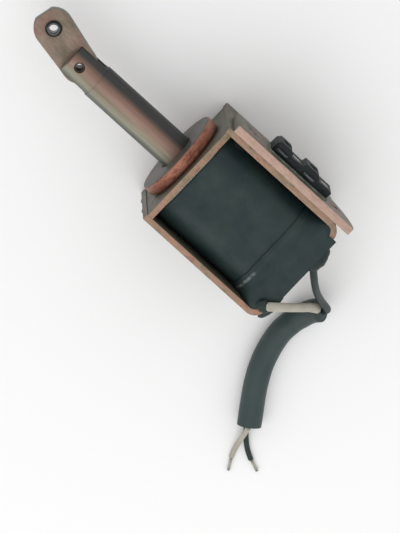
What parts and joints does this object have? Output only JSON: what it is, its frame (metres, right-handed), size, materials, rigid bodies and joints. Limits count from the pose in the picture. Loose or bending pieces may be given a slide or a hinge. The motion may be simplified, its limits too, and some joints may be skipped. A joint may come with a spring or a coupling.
{
  "type": "push pull solenoid",
  "caption": "Open-frame solenoid: a steel box frame round a taped coil, a plunger that pulls in with a hinged link on its end, a side plate with a terminal strip, and sleeved leads.",
  "frame": {"origin": "on the plunger's axis, in the outer face of the front flange", "axes": "+X along the plunger, out of the front plate; +Y from the mounting plate's leg to the other leg; +Z out of the open side at which the mounting plate's long edge lies flush; the part lies on the rear edges of its frame"},
  "size_m": [0.1596, 0.0978, 0.0428],
  "materials": {
    "frame_steel": "copper-washed mild steel strip, satin, darker on the outer faces",
    "plate_steel": "copper-washed mild steel plate with sheared edges",
    "flange_steel": "turned steel, dark face and copper-red streaked side",
    "ring_steel": "dark brown pressed ring",
    "bobbin_nylon": "natural nylon",
    "winding_copper": "enamelled copper wire",
    "coil_tape": "black-green varnished cloth tape",
    "pad_tape": "black tape over the lead joints",
    "tube_brass": "drawn brass tube",
    "core_steel": "turned soft iron",
    "plunger_steel": "ground steel, fine lengthwise sheen, warm tint",
    "pin_steel": "stainless pin",
    "link_steel": "copper-washed flat bar, satin",
    "spring_pin_steel": "dark spring pin",
    "bush_steel": "dark turned bush",
    "mount_steel": "bare copper-washed plate, pale milled edge",
    "rivet_steel": "flush steel rivets",
    "card_paper": "thin insulating card",
    "strip_moulding": "black phenolic moulding",
    "tag_metal": "tinned brass tags",
    "terminal_screw_metal": "plated cheese-head screws",
    "strip_screw_metal": "plated cheese-head screws",
    "lump_tape": "black tape wound over the lead roots",
    "white_sleeving": "white glass-cloth sleeving",
    "black_sleeving": "black lead insulation",
    "outer_sleeve": "black flexible sleeve",
    "white_wire": "white wire with a tinned end",
    "black_wire": "black wire with a tinned end"
  },
  "bodies": {
    "housing": {"u_frame": "frame_steel", "front_plate": "plate_steel", "front_flange": "flange_steel", "flange_ring": "ring_steel", "bobbin": "bobbin_nylon", "winding": "winding_copper", "coil_wrap": "coil_tape", "insulation_pad": "pad_tape", "guide_tube": "tube_brass", "fixed_core": "core_steel", "mounting_plate": "mount_steel", "plate_rivets": "rivet_steel", "strip_card": "card_paper", "terminal_strip": "strip_moulding", "terminal_tags": "tag_metal", "terminal_screws": "terminal_screw_metal", "strip_screws": "strip_screw_metal", "lead_lumps": "lump_tape", "white_lead": "white_sleeving", "black_lead": "black_sleeving", "lead_sleeve": "outer_sleeve", "white_tail": "white_wire", "black_tail": "black_wire"},
    "plunger_rod": {"plunger": "plunger_steel", "push_pin": "pin_steel", "link_pin": "spring_pin_steel"},
    "link_arm": {"link": "link_steel", "eye_bush": "bush_steel"}
  },
  "joints": [
    {"name": "plunger_slide", "type": "slide", "parent": "housing", "child": "plunger_rod", "axis": [-1, 0, 0], "range_m": [0, 0.02]},
    {"name": "link_pivot", "type": "hinge", "parent": "plunger_rod", "child": "link_arm", "pos_m": [0.0426, 0, 0], "axis": [0, 0, 1], "range_deg": [-20, 40]}
  ]
}
